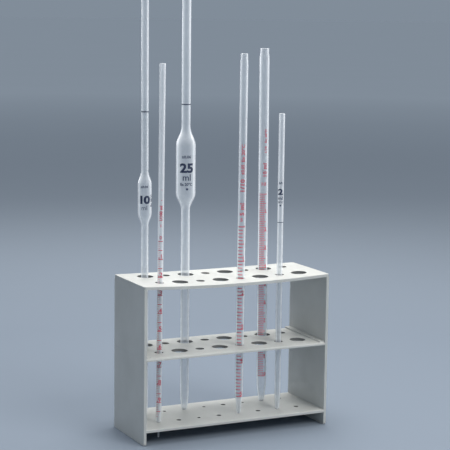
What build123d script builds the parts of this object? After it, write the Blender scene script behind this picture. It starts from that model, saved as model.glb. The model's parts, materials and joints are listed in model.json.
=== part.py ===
"""Plastic pipette rack with six plastic pipettes standing in it.

Millimetres, +Z up. The origin is on the bench, in the middle of the rack's footprint.
+X runs along the rack, and the front of the rack faces -Y.
"""
import os
from dataclasses import dataclass
from math import cos, radians, sin

from build123d import *

# ---------------------------------------------------------------- driving dimensions
RACK_LENGTH = 200.0
RACK_DEPTH = 76.0
RACK_HEIGHT = 154.5
SHEET = 2.8

MIDDLE_TOP = 85.0
BASE_TOP = 15.5

# the top shelf has sunk between its end plates, more at the front than at the back
FRONT_SAG = 2.7
BACK_SAG = 1.0

# two rows of eight holes, where large and small ones take turns
COLUMNS = 8
COLUMN_PITCH = 21.8
ROW_PITCH = 35.2
PATTERN_SHIFT_X = 1.3
PATTERN_SHIFT_Y = 2.0
LARGE_HOLE = 16.0
SMALL_HOLE = 8.8
LARGE_TIP_HOLE = 5.0
SMALL_TIP_HOLE = 3.4

CORNER_RADIUS = 2.0
EDGE_RADIUS = 0.4
MIDDLE_NOSE_RADIUS = 2.0
BASE_NOSE_RADIUS = 0.8

STRIP_WIDTH = 5.0
STRIP_BACK_HEIGHT = 2.0
STRIP_FRONT_HEIGHT = 1.0

# how far most tips reach below the base shelf's top face, and the narrower mouth with its taper
TIP_DROP = 4.8
MOUTH_LENGTH = 5.0
MOUTH_TAPER = 3.5
RIM_RADIUS = 0.3
TIP_BORE_RATIO = 0.45

# ---------------------------------------------------------------- derived places
INNER_LENGTH = RACK_LENGTH - 2 * SHEET
PLATE_HEIGHT = RACK_HEIGHT - SHEET
FRONT_Y = -RACK_DEPTH / 2
BACK_Y = RACK_DEPTH / 2
FRONT_ROW_Y = PATTERN_SHIFT_Y - ROW_PITCH / 2
BACK_ROW_Y = PATTERN_SHIFT_Y + ROW_PITCH / 2


def column_x(column):
    """The middle of a column of holes, counted from 0 at the left."""
    return PATTERN_SHIFT_X + (column - (COLUMNS - 1) / 2) * COLUMN_PITCH


LARGE_SPOTS = [(column_x(c), BACK_ROW_Y if c % 2 == 0 else FRONT_ROW_Y) for c in range(COLUMNS)]
SMALL_SPOTS = [(column_x(c), FRONT_ROW_Y if c % 2 == 0 else BACK_ROW_Y) for c in range(COLUMNS)]


def finish(part, name):
    """Names a finished piece and writes it out."""
    part.label = name
    export_step(part, f"parts/{name}.step")


# ---------------------------------------------------------------- rack: end plates
def build_end_plate(name, side):
    """An upright sheet with rounded lower corners; side is -1 for left and 1 for right."""
    with BuildPart() as plate:
        with BuildSketch(Plane.YZ.offset(side * INNER_LENGTH / 2)):
            with Locations((0, PLATE_HEIGHT / 2)):
                Rectangle(RACK_DEPTH, PLATE_HEIGHT)
        extrude(amount=side * SHEET)
        fillet(plate.edges().filter_by(Axis.X).group_by(Axis.Z)[0], CORNER_RADIUS)
        outer_face = plate.faces().filter_by(Axis.X).sort_by(Axis.X)[0 if side < 0 else -1]
        fillet(outer_face.edges(), EDGE_RADIUS)
    finish(plate.part, name)


# ---------------------------------------------------------------- rack: shelves
def build_top_shelf():
    """The shelf that lies over both end plates: flat on each of them, bowed down between."""
    end_x = RACK_LENGTH / 2
    bend_x = INNER_LENGTH / 2
    under = RACK_HEIGHT - SHEET
    with BuildPart() as shelf:
        for y, sag in ((FRONT_Y, FRONT_SAG), (BACK_Y, BACK_SAG)):
            with BuildSketch(Plane.XZ.offset(-y)):
                with BuildLine():
                    Line((-end_x, RACK_HEIGHT), (-bend_x, RACK_HEIGHT))
                    ThreePointArc((-bend_x, RACK_HEIGHT), (0, RACK_HEIGHT - sag), (bend_x, RACK_HEIGHT))
                    Polyline((bend_x, RACK_HEIGHT), (end_x, RACK_HEIGHT), (end_x, under), (bend_x, under))
                    ThreePointArc((bend_x, under), (0, under - sag), (-bend_x, under))
                    Polyline((-bend_x, under), (-end_x, under), (-end_x, RACK_HEIGHT))
                make_face()
        loft(ruled=True)
        fillet(shelf.edges().filter_by(Axis.Z), CORNER_RADIUS)
        for spots, diameter in ((LARGE_SPOTS, LARGE_HOLE), (SMALL_SPOTS, SMALL_HOLE)):
            with BuildSketch(Plane.XY.offset(under - 2 * FRONT_SAG)):
                with Locations(*spots):
                    Circle(diameter / 2)
            extrude(amount=SHEET + 4 * FRONT_SAG, mode=Mode.SUBTRACT)
    finish(shelf.part, "top_shelf")


def build_inner_shelf(name, top, large_hole, small_hole, nose_radius):
    """A shelf that stands between the end plates, with its upper front edge rounded."""
    with BuildPart() as shelf:
        with BuildSketch(Plane.XY.offset(top - SHEET)):
            Rectangle(INNER_LENGTH, RACK_DEPTH)
        extrude(amount=SHEET)
        upper_edges = shelf.edges().filter_by(Axis.X).group_by(Axis.Z)[-1]
        fillet(upper_edges.sort_by(Axis.Y)[0], nose_radius)
        for spots, diameter in ((LARGE_SPOTS, large_hole), (SMALL_SPOTS, small_hole)):
            with BuildSketch(Plane.XY.offset(top)):
                with Locations(*spots):
                    Circle(diameter / 2)
            extrude(amount=SHEET, both=True, mode=Mode.SUBTRACT)
    finish(shelf.part, name)


# ---------------------------------------------------------------- rack: joint strips
def build_joint_strip(name, side):
    """A strip bonded into the corner between the middle shelf and one end plate."""
    strip_x = side * (INNER_LENGTH - STRIP_WIDTH) / 2
    nose_y = FRONT_Y + MIDDLE_NOSE_RADIUS
    with BuildPart() as strip:
        for y, height in ((nose_y, STRIP_FRONT_HEIGHT), (BACK_Y, STRIP_BACK_HEIGHT)):
            with BuildSketch(Plane.XZ.offset(-y)):
                with Locations((strip_x, MIDDLE_TOP + height / 2)):
                    Rectangle(STRIP_WIDTH, height)
        loft(ruled=True)
        upper_edges = strip.faces().sort_by(Axis.Z)[-1].edges()
        fillet(upper_edges.sort_by(Axis.X)[0 if side > 0 else -1], EDGE_RADIUS)
    finish(strip.part, name)


# ---------------------------------------------------------------- pipettes
@dataclass
class Bulb:
    """The wide part of a volumetric pipette, with heights above the base shelf."""

    radius: float
    start: float
    full: float
    shoulder: float
    end: float


@dataclass
class Pipette:
    """One moulded tube. Heights are above the base shelf's top face, where its tip hole is."""

    name: str
    column: int
    row_y: float
    lean: float  # degrees towards +X
    tip: list  # (radius, height) from the end of the tip to the full tube
    radius: float  # of the tube below its mouth
    mouth_radius: float
    wall: float
    top: float
    bulb: Bulb | None = None


def draw_wall(pipette, inset):
    """Draws the tube's outer wall, or its bore at an inset, and returns the wall's two ends."""

    def bore(radius):
        return max(radius - inset, TIP_BORE_RATIO * radius) if inset else radius

    radius = bore(pipette.radius)
    mouth_radius = bore(pipette.mouth_radius)
    mouth = pipette.top - MOUTH_LENGTH
    shoulder = (radius, mouth - MOUTH_TAPER)
    points = [(bore(r), height) for r, height in pipette.tip]
    if pipette.bulb:
        bulb = pipette.bulb
        wide = bore(bulb.radius)
        Polyline(*points, (radius, bulb.start))
        Spline((radius, bulb.start), (wide, bulb.full), tangents=[(0, 1), (0, 1)])
        Line((wide, bulb.full), (wide, bulb.shoulder))
        Spline((wide, bulb.shoulder), (radius, bulb.end), tangents=[(0, 1), (0, 1)])
        below_mouth = [(radius, bulb.end)]
    else:
        below_mouth = points
    end = (mouth_radius, pipette.top)
    Polyline(*below_mouth, shoulder, (mouth_radius, mouth), end)
    return points[0], end


def build_pipette(pipette):
    """A hollow tube, open at both ends, standing with its tip in the base shelf's hole."""
    tilt = radians(pipette.lean)
    foot = (column_x(pipette.column), pipette.row_y, BASE_TOP)
    section = Plane(origin=foot, x_dir=(cos(tilt), 0, -sin(tilt)), z_dir=(0, -1, 0))
    with BuildPart() as tube:
        with BuildSketch(section):
            with BuildLine():
                outer_tip, outer_mouth = draw_wall(pipette, 0)
                inner_tip, inner_mouth = draw_wall(pipette, pipette.wall)
                Line(outer_tip, inner_tip)
                Line(outer_mouth, inner_mouth)
            make_face()
        revolve(axis=Axis(section.origin, section.y_dir))
        rims = tube.edges().filter_by(GeomType.CIRCLE).sort_by(Axis.Z)[-2:]
        fillet(rims, RIM_RADIUS)
    finish(tube.part, pipette.name)


PIPETTES = [
    Pipette(
        name="volumetric_pipette_10ml",
        column=0,
        row_y=BACK_ROW_Y,
        lean=-0.25,
        tip=[(1.2, -TIP_DROP), (2.2, 0), (3.2, 5.5), (3.65, 11)],
        radius=3.65,
        mouth_radius=3.2,
        wall=0.95,
        top=445.2,
        bulb=Bulb(radius=6.9, start=188.5, full=201.5, shoulder=229.0, end=242.5),
    ),
    Pipette(
        name="graduated_pipette_1ml",
        column=0,
        row_y=FRONT_ROW_Y,
        lean=0.29,
        tip=[(0.9, -14.8), (1.35, -2), (1.5, 0), (2.6, 1.5), (2.85, 20)],
        radius=3.0,
        mouth_radius=3.0,
        wall=1.65,
        top=348.1,
    ),
    Pipette(
        name="volumetric_pipette_25ml",
        column=2,
        row_y=BACK_ROW_Y,
        lean=-0.22,
        tip=[(1.3, -TIP_DROP), (2.4, 0), (2.9, 1.5), (3.45, 4.5), (3.6, 7), (4.2, 11), (4.4, 14)],
        radius=4.4,
        mouth_radius=3.9,
        wall=0.95,
        top=515.2,
        bulb=Bulb(radius=9.75, start=202.3, full=219.5, shoulder=265.5, end=285.4),
    ),
    Pipette(
        name="graduated_pipette_5ml",
        column=4,
        row_y=FRONT_ROW_Y,
        lean=0.1,
        tip=[(0.9, -TIP_DROP), (1.55, 0), (2.1, 2), (2.45, 5), (2.7, 11), (3.5, 16), (3.95, 20)],
        radius=3.95,
        mouth_radius=3.5,
        wall=0.9,
        top=357.2,
    ),
    Pipette(
        name="graduated_pipette_10ml",
        column=6,
        row_y=BACK_ROW_Y,
        lean=-0.44,
        tip=[(1.3, -TIP_DROP), (2.4, 0), (2.9, 2), (3.75, 9), (4.3, 12.5), (4.75, 18), (4.95, 27)],
        radius=4.95,
        mouth_radius=4.35,
        wall=0.8,
        top=361.2,
    ),
    Pipette(
        name="volumetric_pipette_2ml",
        column=6,
        row_y=FRONT_ROW_Y,
        lean=-0.1,
        tip=[(0.9, -TIP_DROP), (1.55, 0), (2.3, 1.2), (2.65, 8), (2.95, 15)],
        radius=3.05,
        mouth_radius=3.05,
        wall=1.2,
        top=298.5,
    ),
]

os.makedirs("parts", exist_ok=True)
build_end_plate("left_end_plate", -1)
build_end_plate("right_end_plate", 1)
build_top_shelf()
build_inner_shelf("middle_shelf", MIDDLE_TOP, LARGE_HOLE, SMALL_HOLE, MIDDLE_NOSE_RADIUS)
build_inner_shelf("base_shelf", BASE_TOP, LARGE_TIP_HOLE, SMALL_TIP_HOLE, BASE_NOSE_RADIUS)
build_joint_strip("left_joint_strip", -1)
build_joint_strip("right_joint_strip", 1)
for pipette in PIPETTES:
    build_pipette(pipette)
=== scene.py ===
import json
import math

import bmesh
import bpy
from mathutils import Matrix, Vector


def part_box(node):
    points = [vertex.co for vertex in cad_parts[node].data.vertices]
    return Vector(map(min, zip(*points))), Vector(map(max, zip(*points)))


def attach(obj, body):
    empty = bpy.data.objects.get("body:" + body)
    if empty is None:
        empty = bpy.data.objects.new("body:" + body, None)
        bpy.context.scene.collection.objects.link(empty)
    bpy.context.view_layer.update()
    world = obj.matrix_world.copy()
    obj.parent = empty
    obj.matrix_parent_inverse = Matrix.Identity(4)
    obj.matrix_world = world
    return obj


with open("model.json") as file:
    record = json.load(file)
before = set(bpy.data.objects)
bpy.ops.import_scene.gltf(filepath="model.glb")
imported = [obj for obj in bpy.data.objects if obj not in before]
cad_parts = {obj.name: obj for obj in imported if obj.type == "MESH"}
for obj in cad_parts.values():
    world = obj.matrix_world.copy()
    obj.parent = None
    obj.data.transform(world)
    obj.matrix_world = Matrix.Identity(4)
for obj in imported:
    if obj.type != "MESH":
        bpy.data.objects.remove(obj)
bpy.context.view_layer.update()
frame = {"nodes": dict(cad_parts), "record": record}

MM = 0.001
record = frame["record"]
scene = bpy.context.scene


# ---------------------------------------------------------------- node helpers
class Tree:
    """A new material's node tree, with short calls to add and join nodes."""

    def __init__(self, name):
        self.material = bpy.data.materials.new(name)
        self.material.use_nodes = True
        self.tree = self.material.node_tree
        self.tree.nodes.clear()
        self.output = self.add("ShaderNodeOutputMaterial")

    def add(self, kind, inputs=None, **settings):
        """A new node, with another node's output or a plain value on each of the given inputs."""
        node = self.tree.nodes.new(kind)
        for key, value in settings.items():
            setattr(node, key, value)
        for key, value in (inputs or {}).items():
            if isinstance(value, bpy.types.NodeSocket):
                self.tree.links.new(value, node.inputs[key])
            else:
                node.inputs[key].default_value = value
        return node

    def math(self, operation, a, b=0.0):
        return self.add("ShaderNodeMath", {0: a, 1: b}, operation=operation).outputs[0]

    def noise(self, where, scale, detail=3.0, rough=0.5, stretch=None):
        """Noise from 0 to 1. stretch multiplies each axis, so a small number draws it out."""
        if stretch:
            where = self.add("ShaderNodeMapping", {"Vector": where, "Scale": stretch}).outputs[0]
        inputs = {"Vector": where, "Scale": scale, "Detail": detail, "Roughness": rough}
        return self.add("ShaderNodeTexNoise", inputs).outputs["Fac"]

    def spread(self, value, low, high, to_low, to_high):
        """A value taken from one range to another, and kept within it."""
        inputs = {"Value": value, "From Min": low, "From Max": high, "To Min": to_low, "To Max": to_high}
        return self.add("ShaderNodeMapRange", inputs).outputs[0]

    def blend(self, share, a, b):
        """The colour a, with a share of the colour b. A mix node's colours are its sockets 6 and 7."""
        return self.add("ShaderNodeMix", {0: share, 6: a, 7: b}, data_type="RGBA").outputs[2]

    def bump(self, height, distance, strength=1.0, normal=None):
        inputs = {"Height": height, "Distance": distance, "Strength": strength}
        if normal is not None:
            inputs["Normal"] = normal
        return self.add("ShaderNodeBump", inputs).outputs[0]

    def finish(self, shader):
        self.tree.links.new(shader, self.output.inputs["Surface"])
        return self.material


# ---------------------------------------------------------------- materials
SHEET_TONES = ((0.52, 0.525, 0.50, 1), (0.585, 0.59, 0.565, 1))
SCUFF_TONE = (0.47, 0.475, 0.46, 1)
BOND_TONE = (0.42, 0.44, 0.45, 1)
# painted shade for the upright walls inside the holes
HOLE_WALL_SHADE_TONE = (0.1, 0.1, 0.095, 1)
MILK_TONES = ((0.84, 0.86, 0.875, 1), (0.89, 0.905, 0.915, 1))
CLEAR_TONE = (0.97, 0.98, 0.99, 1)
MILKINESS = 430.0  # how fast a metre of the pipettes' plastic hides what is behind it


def with_bond_line(t, at, colour, line_z):
    """The edge of a shelf bonded to the other side, a faint line that is stronger towards the back."""
    place = t.add("ShaderNodeSeparateXYZ", {"Vector": at})
    off = t.math("ABSOLUTE", t.math("SUBTRACT", place.outputs["Z"], line_z))
    line = t.spread(off, 0.0, 1.1 * MM, 1.0, 0.0)
    back = t.spread(place.outputs["Y"], -30 * MM, 34 * MM, 0.1, 1.0)
    broken = t.spread(t.noise(at, 90.0, 2.0), 0.35, 0.6, 0.3, 1.0)
    share = t.math("MULTIPLY", t.math("MULTIPLY", line, back), broken)
    return t.blend(t.math("MULTIPLY", share, 0.35), colour, BOND_TONE)


def with_painted_hole_shade(t, at, colour, field):
    """Painted shade on the cut walls of holes: the upright walls inside the field of holes are darkened.
    The field is given as half of its length and half of its depth."""
    place = t.add("ShaderNodeSeparateXYZ", {"Vector": at})
    facing = t.add("ShaderNodeTexCoord").outputs["Normal"]
    level = t.add("ShaderNodeSeparateXYZ", {"Vector": facing}).outputs["Z"]
    cut = t.math("LESS_THAN", t.math("ABSOLUTE", level), 0.5)
    for axis, reach in zip("XY", field):
        near = t.math("LESS_THAN", t.math("ABSOLUTE", place.outputs[axis]), reach)
        cut = t.math("MULTIPLY", cut, near)
    # painted shade: the walls inside the holes are darkened to stand for the shade in them
    return t.blend(t.math("MULTIPLY", cut, 0.85), colour, HOLE_WALL_SHADE_TONE)


def rack_plastic(name, bond_line_z=None, hole_field=None):
    """Off-white sheet plastic: a soft satin skin with faint clouding, fine grain and hairline scuffs,
    and painted shade on the walls of holes where a field of holes is given.
    """
    t = Tree(name)
    at = t.add("ShaderNodeTexCoord").outputs["Object"]
    clouds = t.noise(at, 22.0, 4.0)
    grain = t.noise(at, 900.0, 2.0)
    scuffs = t.noise(at, 60.0, 5.0, 0.7, stretch=(1.0, 14.0, 9.0))
    colour = t.blend(t.spread(clouds, 0.3, 0.7, 0.0, 1.0), *SHEET_TONES)
    colour = t.blend(t.spread(scuffs, 0.62, 0.72, 0.0, 0.25), colour, SCUFF_TONE)
    if bond_line_z is not None:
        colour = with_bond_line(t, at, colour, bond_line_z)
    if hole_field is not None:
        colour = with_painted_hole_shade(t, at, colour, hole_field)
    rough = t.spread(t.noise(at, 130.0, 3.0), 0.3, 0.7, 0.5, 0.64)
    normal = t.bump(grain, 0.06 * MM, 0.25)
    normal = t.bump(t.spread(scuffs, 0.62, 0.74, 0.0, 1.0), 0.08 * MM, 0.3, normal)
    skin = t.add(
        "ShaderNodeBsdfPrincipled",
        {
            "Base Color": colour,
            "Roughness": rough,
            "Normal": normal,
            "IOR": 1.52,
            "Subsurface Weight": 0.12,
            "Subsurface Radius": (1.2 * MM, 1.1 * MM, 1.0 * MM),
            "Subsurface Scale": 1.0,
        },
    )
    return t.finish(skin.outputs[0])


def pipette_plastic(name, radius, bore):
    """Milky see-through plastic of a tube with this outer radius and bore. It hides more where a
    line of sight runs further through the wall, so a tube has white edges and a greyer middle.
    Both walls count once: a surface that is looked at from inside the plastic is left clear."""
    t = Tree(name)
    at = t.add("ShaderNodeTexCoord").outputs["Object"]
    drawn = t.noise(at, 90.0, 2.0, 0.4, stretch=(2.0, 2.0, 0.08))
    shade = t.spread(t.noise(at, 25.0, 2.0), 0.3, 0.7, 0.0, 1.0)
    colour = t.blend(shade, *MILK_TONES)
    rough = t.spread(t.noise(at, 160.0, 3.0), 0.3, 0.7, 0.24, 0.3)
    normal = t.bump(drawn, 0.01 * MM, 0.15)
    body = t.add(
        "ShaderNodeBsdfPrincipled",
        {"Base Color": colour, "Roughness": rough, "Normal": normal, "IOR": 1.49},
    )
    glow = t.add("ShaderNodeBsdfTranslucent", {"Color": colour, "Normal": normal})
    milk = t.add("ShaderNodeMixShader", {0: 0.15, 1: body.outputs[0], 2: glow.outputs[0]})
    through = t.add("ShaderNodeBsdfTransparent", {"Color": CLEAR_TONE})
    # the way through the wall, as a share of the radius, from how square on the surface is seen
    share = bore / radius
    facing = t.add("ShaderNodeLayerWeight", {"Blend": 0.5}).outputs["Facing"]
    square_on = t.math("SUBTRACT", 1.0, facing)
    in_bore = t.math("ADD", t.math("MULTIPLY", square_on, square_on), share * share - 1)
    wall = t.math("SUBTRACT", square_on, t.math("SQRT", t.math("MAXIMUM", in_bore, 0.0)))
    past_bore = t.math("LESS_THAN", in_bore, 0.0)
    way = t.math("MULTIPLY", wall, t.math("ADD", 1.0, past_bore))
    clear = t.math("POWER", math.exp(-MILKINESS * radius), way)
    inside = t.add("ShaderNodeNewGeometry").outputs["Backfacing"]
    mixed = t.add(
        "ShaderNodeMixShader",
        {0: t.math("MAXIMUM", clear, inside), 1: milk.outputs[0], 2: through.outputs[0]},
    )
    return t.finish(mixed.outputs[0])


def ink(name, colour, worn):
    """Printed ink, slightly uneven and slightly glossy."""
    t = Tree(name)
    at = t.add("ShaderNodeTexCoord").outputs["Object"]
    patches = t.noise(at, 900.0, 3.0)
    shade = t.blend(t.spread(patches, 0.35, 0.7, 0.0, 1.0), colour, worn)
    rough = t.spread(t.noise(at, 400.0, 2.0), 0.3, 0.7, 0.4, 0.6)
    normal = t.bump(patches, 0.01 * MM, 0.4)
    skin = t.add("ShaderNodeBsdfPrincipled", {"Base Color": shade, "Roughness": rough, "Normal": normal})
    return t.finish(skin.outputs[0])


# ---------------------------------------------------------------- rack
WORN_EDGE = 0.3 * MM


def field_of_holes():
    """Half of the length and half of the depth that the rack's holes take up, and a little more."""
    holes = [m for m in record["mounts"] if "_hole_" in m["name"]]
    return [max(abs(m["pos_m"][i]) + m["dims"]["r_mm"] * MM for m in holes) + 1 * MM for i in (0, 1)]


middle_low, middle_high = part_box("middle_shelf")
sheet = rack_plastic("rack_sheet")
# the shelves get painted shade on the walls of their holes
shelf = rack_plastic("rack_shelf", hole_field=field_of_holes())
bonded = rack_plastic("rack_sheet_bonded", bond_line_z=(middle_low.z + middle_high.z) / 2)
own_plastic = {"top_shelf": shelf, "middle_shelf": shelf, "base_shelf": shelf, "left_end_plate": bonded}
for name in record["behaviour"]["bodies"]["rack"]:
    node = frame["nodes"][name]
    node.data.materials[0] = own_plastic.get(name, sheet)
    edge = node.modifiers.new("worn_edge", "BEVEL")
    edge.width = WORN_EDGE
    edge.segments = 2
    edge.limit_method = "ANGLE"
    edge.angle_limit = math.radians(50)
    edge.harden_normals = True


# ---------------------------------------------------------------- camera
# the same viewing angle as the object was seen from: to the left of its front, slightly above
AZIMUTH = math.radians(26.10)
ELEVATION = math.radians(8.09)
ROLL = math.radians(0.78)
DISTANCE = 1.5109
LENS = 120.96
AIM = Vector((0.0, 0.0, 0.080))
AIM_RIGHT = 0.00341
AIM_UP = 0.12255


def studio_camera():
    """A camera that looks along the viewing angle at a spot a little off AIM, across its view."""
    back = Vector(
        (
            -math.sin(AZIMUTH) * math.cos(ELEVATION),
            -math.cos(AZIMUTH) * math.cos(ELEVATION),
            math.sin(ELEVATION),
        )
    )
    level_right = (-back).cross(Vector((0, 0, 1))).normalized()
    level_up = level_right.cross(-back)
    right = math.cos(ROLL) * level_right + math.sin(ROLL) * level_up
    up = math.cos(ROLL) * level_up - math.sin(ROLL) * level_right
    data = bpy.data.cameras.new("camera")
    data.sensor_width = 36.0
    data.lens = LENS
    data.clip_start = 0.05
    data.clip_end = 200.0
    camera = bpy.data.objects.new("camera", data)
    place = AIM + AIM_RIGHT * right + AIM_UP * up + DISTANCE * back
    axes = Matrix((right, up, back)).transposed().to_4x4()
    camera.matrix_world = Matrix.Translation(place) @ axes
    scene.collection.objects.link(camera)
    scene.camera = camera


studio_camera()


# ---------------------------------------------------------------- pipettes
class Tube:
    """A pipette's axis and outer surface, read from its CAD node and its mouth's mount."""

    def __init__(self, node):
        self.node = node
        self.object = frame["nodes"][node]
        mouth = next(m for m in record["mounts"] if m["name"] == node + "_mouth")
        self.axis = Vector(mouth["axis"]).normalized()
        self.side = self.axis.cross(Vector((0, -1, 0))).normalized()
        self.front = self.side.cross(self.axis)
        at = Vector(mouth["pos_m"])
        base_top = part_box("base_shelf")[1].z
        self.foot = at - self.axis * ((at.z - base_top) / self.axis.z)

    def outward(self, angle):
        """The direction out of the tube at an angle, 0 at its front and growing towards +X."""
        return math.cos(angle) * self.front + math.sin(angle) * self.side

    def radius(self, height):
        """The outer radius at a height in metres above the base shelf, on the CAD mesh."""
        start = self.foot + self.axis * height
        reach = 30 * MM
        out = self.outward(0.0)
        return (self.object.ray_cast(start + out * reach, -out)[1] - start).length

    def bore(self, height):
        """The inner radius at a height, found the same way from the axis outwards."""
        start = self.foot + self.axis * height
        return (self.object.ray_cast(start, self.outward(0.0))[1] - start).length

    def point(self, angle, height, radius):
        return self.foot + self.axis * height + self.outward(angle) * radius


TUBES = {
    node: Tube(node)
    for body in record["behaviour"]["bodies"].values()
    for node in body
    if "pipette" in node
}
PLAIN_STEM = 100 * MM  # a height at which every tube is plain and straight
for node, tube in TUBES.items():
    plastic = pipette_plastic(node + "_plastic", tube.radius(PLAIN_STEM), tube.bore(PLAIN_STEM))
    tube.object.data.materials[0] = plastic


# ---------------------------------------------------------------- prints
INK_OUT = 0.05 * MM  # how far ink stands out of a tube's wall
INK_IN = 0.03 * MM  # how far it reaches into the wall, so that no gap shows
CAPITAL = 0.73  # the height of a capital letter as a share of the font's size
CUT_WIDTH = 0.55 * MM  # figures are cut this finely before they are wrapped on a tube
DOT_SIDES = 16
FIGURE_GAP = 0.6  # millimetres from a scale's line to the figure above it
FACING = -AZIMUTH  # the line of a tube that faces the camera


class Print:
    """All the ink of one colour on one tube, gathered into one mesh. Sizes, and heights above the
    base shelf with the tube in its hole, are in millimetres. Angles are in degrees, seen from the
    camera's side: 0 is the line of the tube that faces it, and they grow to the right."""

    def __init__(self, node):
        self.tube = TUBES[node]
        self.mesh = bmesh.new()

    def strip(self, angle_a, angle_b, height, thick, steps=None):
        """A line across the tube between two angles, or a ring if they are a turn apart."""
        a, b = (math.radians(v) + FACING for v in (angle_a, angle_b))
        whole = abs(angle_b - angle_a) >= 360
        steps = steps or max(3, round(abs(angle_b - angle_a) / 7))
        height *= MM
        half = thick * MM / 2
        radius = self.tube.radius(height)
        rings = []
        for i in range(steps if whole else steps + 1):
            angle = a + (b - a) * i / steps
            corners = (
                (radius - INK_IN, -half),
                (radius + INK_OUT, -half),
                (radius + INK_OUT, half),
                (radius - INK_IN, half),
            )
            rings.append([self.mesh.verts.new(self.tube.point(angle, height + dh, r)) for r, dh in corners])
        for i in range(steps):
            low, high = rings[i], rings[(i + 1) % len(rings)]
            for k in range(4):
                self.mesh.faces.new((low[k], low[(k + 1) % 4], high[(k + 1) % 4], high[k]))
        if not whole:
            self.mesh.faces.new(rings[0][::-1])
            self.mesh.faces.new(rings[-1])

    def dot(self, angle, height, size):
        """A round dot, from a flat disc wrapped on the tube. Its points are made one by one, because
        bmesh's own extrusion puts them in another order on each run."""
        flat = bmesh.new()
        radius = size * MM / 2
        turns = [math.tau * i / DOT_SIDES for i in range(DOT_SIDES)]
        low, high = (
            [flat.verts.new((radius * math.sin(turn), radius * math.cos(turn), z)) for turn in turns]
            for z in (0.0, INK_IN + INK_OUT)
        )
        flat.faces.new(low)
        flat.faces.new(high[::-1])
        for i in range(DOT_SIDES):
            flat.faces.new((low[i - 1], low[i], high[i], high[i - 1]))
        self.wrap(flat, angle, height)

    def text(self, words, angle, height, size, bold=0.0, wide=1.0, spacing=1.0, upright=True):
        """Figures wrapped on the tube, with their middle at an angle and height. size is the height
        of a capital letter, and bold is how far strokes grow. Without upright, the line of text
        runs up the tube."""
        curve = bpy.data.curves.new("words", "FONT")
        curve.body = words
        curve.size = size * MM / CAPITAL
        curve.align_x = "CENTER"
        curve.align_y = "CENTER"
        curve.offset = bold * MM
        curve.space_character = spacing
        curve.extrude = (INK_IN + INK_OUT) / 2
        curve.resolution_u = 3
        carrier = bpy.data.objects.new("words", curve)
        shape = bpy.data.meshes.new_from_object(carrier)
        flat = bmesh.new()
        flat.from_mesh(shape)
        bmesh.ops.remove_doubles(flat, verts=flat.verts, dist=1e-6)
        middle = (min(v.co.y for v in flat.verts) + max(v.co.y for v in flat.verts)) / 2
        for v in flat.verts:
            v.co = Vector((v.co.x * wide, v.co.y - middle, v.co.z + (INK_IN + INK_OUT) / 2))
            if not upright:
                v.co = Vector((-v.co.y, v.co.x, v.co.z))
        bpy.data.objects.remove(carrier)
        bpy.data.curves.remove(curve)
        bpy.data.meshes.remove(shape)
        self.wrap(flat, angle, height)

    def wrap(self, flat, angle, height):
        """Bends a flat shape round the tube and adds it. Cuts keep it on the curved surface."""
        low = min(v.co.x for v in flat.verts)
        high = max(v.co.x for v in flat.verts)
        cuts = max(1, math.ceil((high - low) / CUT_WIDTH))
        for i in range(1, cuts):
            geometry = flat.verts[:] + flat.edges[:] + flat.faces[:]
            x = low + (high - low) * i / cuts
            bmesh.ops.bisect_plane(flat, geom=geometry, plane_co=(x, 0, 0), plane_no=(1, 0, 0), dist=1e-7)
        height *= MM
        radius = self.tube.radius(height)
        middle = math.radians(angle) + FACING
        copies = {}
        for v in flat.verts:
            turn = middle + v.co.x / radius
            spot = self.tube.point(turn, height + v.co.y, radius - INK_IN + v.co.z)
            copies[v] = self.mesh.verts.new(spot)
        for f in flat.faces:
            self.mesh.faces.new([copies[v] for v in f.verts])
        flat.free()

    def finish(self, name, material, slot):
        bmesh.ops.recalc_face_normals(self.mesh, faces=self.mesh.faces)
        data = bpy.data.meshes.new(name)
        self.mesh.to_mesh(data)
        self.mesh.free()
        data.materials.append(material)
        piece = bpy.data.objects.new(name, data)
        scene.collection.objects.link(piece)
        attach(piece, self.tube.node)


def scale(marks, zero, per_ml, full, step, angles, thick, figure):
    """A volume scale that runs down from zero, with every fifth line longer and every tenth longer
    still, with a figure. angles: left end, and the right ends of a short, a middle and a long line.
    thick: a short line, and the others. figure: size, angle and how many decimals."""
    left, short, middle, long = angles
    fine, strong = thick
    size, at, decimals = figure
    for i in range(round(full / step) + 1):
        volume = i * step
        height = zero - volume * per_ml
        if i % 10 == 0:
            marks.strip(left, long, height, strong)
            if i:
                words = f"{volume:.{decimals}f}".lstrip("0") if decimals else f"{volume:.0f}"
                marks.text(words, at, height + size / 2 + FIGURE_GAP, size, bold=0.18)
        elif i % 5 == 0:
            marks.strip(left, middle, height, strong)
        else:
            marks.strip(left, short, height, fine)


red = ink("ink_red", (0.50, 0.05, 0.085, 1), (0.62, 0.12, 0.16, 1))
navy = ink("ink_navy", (0.012, 0.02, 0.055, 1), (0.03, 0.045, 0.10, 1))

marks = Print("graduated_pipette_10ml")
scale(
    marks,
    zero=215.1,
    per_ml=18.8,
    full=10,
    step=0.1,
    angles=(-50, 18, 34, 46),
    thick=(0.7, 0.9),
    figure=(3.2, 30, 0),
)
marks.text("10", 0, 225.4, 3.3, bold=0.12, wide=1.25)
marks.text("10 ml", 17, 239.3, 3.9, upright=False, bold=0.2, wide=1.1, spacing=1.1)
marks.text("1/10   Ex 20°C", 24, 268.5, 2.4, upright=False, bold=0.1, wide=1.25)
marks.finish("scale_10ml_graduated", red, "red_print")

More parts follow.
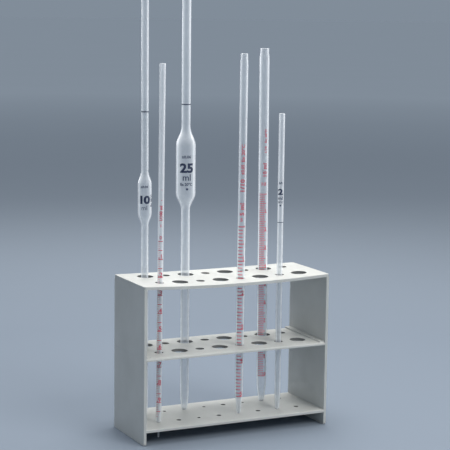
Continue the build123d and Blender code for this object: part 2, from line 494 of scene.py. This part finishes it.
marks = Print("graduated_pipette_5ml")
scale(
    marks,
    zero=188.4,
    per_ml=34.1,
    full=5,
    step=0.1,
    angles=(-52, 20, 36, 52),
    thick=(0.95, 1.1),
    figure=(4.2, 30, 0),
)
marks.text("5", -4, 195.2, 3.2, bold=0.15, wide=1.2)
marks.text("5 ml", 2, 205.6, 4.4, upright=False, bold=0.22, wide=1.05, spacing=1.12)
marks.text("1/10", 3, 228.6, 4.2, upright=False, bold=0.2, wide=1.2, spacing=1.1)
marks.text("±0.05", 4, 244.7, 3.2, upright=False, bold=0.12)
marks.text("Ex 20°C", 6, 260.8, 3.4, upright=False, bold=0.13, wide=1.1)
marks.finish("scale_5ml_graduated", red, "red_print")

marks = Print("graduated_pipette_1ml")
scale(
    marks,
    zero=178.7,
    per_ml=176.0,
    full=0.98,  # the tip empties the rest
    step=0.01,
    angles=(-50, -6, 40, 52),
    thick=(0.35, 0.8),
    figure=(4.4, 4, 1),
)
marks.text("0", 4, 182.2, 3.4, bold=0.12)
marks.text("1", 4, 193.6, 2.8, bold=0.12, wide=1.3)
marks.text("1/100 ml", 2, 205.5, 2.7, upright=False, bold=0.2, wide=1.1, spacing=1.05)
marks.dot(16, 218.2, 1.0)
marks.dot(16, 228.2, 0.8)
marks.finish("scale_1ml_graduated", red, "red_print")

marks = Print("volumetric_pipette_25ml")
marks.strip(0, 360, 306.7, 0.9, steps=64)
marks.text("±0.06", 5, 255.8, 2.7, bold=0.1, wide=1.1)
marks.text("25", 8, 244.8, 8.9, bold=0.5, wide=1.16)
marks.text("ml", 8, 235.6, 6.6, bold=0.1)
marks.text("Ex 20°C", 5, 228.8, 2.7, bold=0.12, wide=1.0)
marks.dot(10, 224.0, 2.3)
marks.finish("marks_25ml_volumetric", navy, "blue_print")

marks = Print("volumetric_pipette_10ml")
marks.strip(0, 360, 300.2, 0.9, steps=56)
marks.text("±0.04", -2, 227.7, 2.3, bold=0.08)
marks.text("10", -2, 215.0, 7.6, bold=0.45, wide=1.22, spacing=0.9)
marks.text("ml", 0, 207.2, 4.6)
marks.text("Ex 20°C", 66, 214.0, 2.6, upright=False, bold=0.1)
marks.finish("marks_10ml_volumetric", navy, "blue_print")

marks = Print("volumetric_pipette_2ml")
marks.strip(0, 360, 190.5, 0.6, steps=48)
marks.text("1/1", -4, 229.8, 1.9, bold=0.2, wide=1.2)
marks.text("2", -8, 221.1, 5.8, bold=0.35, wide=1.3)
marks.text("ml", -8, 214.8, 3.3, bold=0.12, wide=1.2)
marks.text("20°C", -6, 210.7, 1.7, bold=0.1, wide=1.05, spacing=1.1)
marks.dot(-6, 207.4, 1.8)
marks.finish("marks_2ml_volumetric", navy, "blue_print")


# ---------------------------------------------------------------- studio
NEAR_FLOOR = (0.235, 0.275, 0.33)
FAR_FLOOR = (0.60, 0.66, 0.72)
HORIZON = (0.22, 0.265, 0.32)


def studio_floor():
    """A plain pale floor that runs out to the horizon, paler where less lamplight reaches it."""
    t = Tree("floor")
    at = t.add("ShaderNodeTexCoord").outputs["Object"]
    away = t.add("ShaderNodeVectorMath", {0: at}, operation="LENGTH").outputs["Value"]
    shade = t.blend(t.spread(away, 0.5, 6.0, 0.0, 1.0), (*NEAR_FLOOR, 1), (*FAR_FLOOR, 1))
    uneven = t.spread(t.noise(at, 1.5, 2.0), 0.0, 1.0, 0.97, 1.0)
    shade = t.blend(uneven, (0, 0, 0, 1), shade)
    skin = t.add("ShaderNodeBsdfDiffuse", {"Color": shade})
    data = bpy.data.meshes.new("floor")
    far = 60.0
    data.from_pydata([(-far, -far, 0), (far, -far, 0), (far, far, 0), (-far, far, 0)], [], [(0, 1, 2, 3)])
    data.materials.append(t.finish(skin.outputs[0]))
    floor = bpy.data.objects.new("floor", data)
    floor.location.z = -0.1 * MM
    scene.collection.objects.link(floor)
    return floor


def studio_sky():
    """Soft light from all round, brighter overhead by as much as makes the lit floor's far end
    the colour of the horizon, so that no line shows between them."""
    world = bpy.data.worlds.new("studio")
    world.use_nodes = True
    tree = world.node_tree
    direction = tree.nodes.new("ShaderNodeTexCoord").outputs["Generated"]
    parts = tree.nodes.new("ShaderNodeSeparateXYZ")
    tree.links.new(direction, parts.inputs[0])
    blend = tree.nodes.new("ShaderNodeMix")
    blend.data_type = "RGBA"
    blend.inputs[6].default_value = [*HORIZON, 1]
    blend.inputs[7].default_value = [h * (3 / f - 1) / 2 for h, f in zip(HORIZON, FAR_FLOOR)] + [1]
    tree.links.new(parts.outputs["Z"], blend.inputs[0])
    tree.links.new(blend.outputs[2], tree.nodes["Background"].inputs["Color"])
    scene.world = world


def softbox(name, place, aim, size, power, colour, only=None):
    """A soft lamp that the camera doesn't see. only: the collection that it lights, if not all."""
    data = bpy.data.lights.new(name, "AREA")
    data.shape = "RECTANGLE"
    data.size, data.size_y = size
    data.energy = power
    data.color = colour
    lamp = bpy.data.objects.new(name, data)
    lamp.location = place
    lamp.rotation_euler = (Vector(aim) - Vector(place)).to_track_quat("-Z", "Y").to_euler()
    lamp.visible_camera = False
    if only:
        lamp.light_linking.receiver_collection = only
    scene.collection.objects.link(lamp)


def receivers(name, objects):
    """A collection that a lamp's light is kept to."""
    group = bpy.data.collections.new(name)
    for obj in objects:
        group.objects.link(obj)
    return group


tubes = [tube.object for tube in TUBES.values()]
others = [obj for obj in scene.objects if obj.type == "MESH" and obj not in tubes]
on_tubes = receivers("on_tubes", tubes)
off_tubes = receivers("off_tubes", others + [studio_floor()])
studio_sky()
softbox("key", (0.10, 0.15, 1.5), (0, 0, 0.1), (0.9, 0.9), 20.0, (1.0, 0.98, 0.95))
softbox("front", (0.45, -1.25, 1.15), (0, 0, 0.1), (0.9, 0.7), 13.0, (1.0, 0.99, 0.96), off_tubes)
softbox("back", (0.4, 1.1, 0.95), (0, 0, 0.1), (0.5, 0.5), 3.0, (1.0, 0.99, 0.97), off_tubes)
softbox("left", (-0.83, 0.86, 1.24), (0, 0, 0.3), (0.5, 0.6), 14.0, (0.99, 0.99, 1.0), on_tubes)
softbox("right", (1.20, -0.12, 1.24), (0, 0, 0.3), (0.5, 0.6), 17.0, (1.0, 0.99, 0.98), on_tubes)
softbox("low_left", (-0.5, 1.2, 0.45), (0, 0, 0.1), (0.4, 0.4), 4.0, (0.99, 0.99, 1.0), on_tubes)
softbox("low_right", (1.1, -0.6, 0.35), (0, 0, 0.1), (0.4, 0.4), 6.0, (1.0, 0.99, 0.98), on_tubes)
scene.view_settings.view_transform = "Standard"  # colours as they are, with no film curve
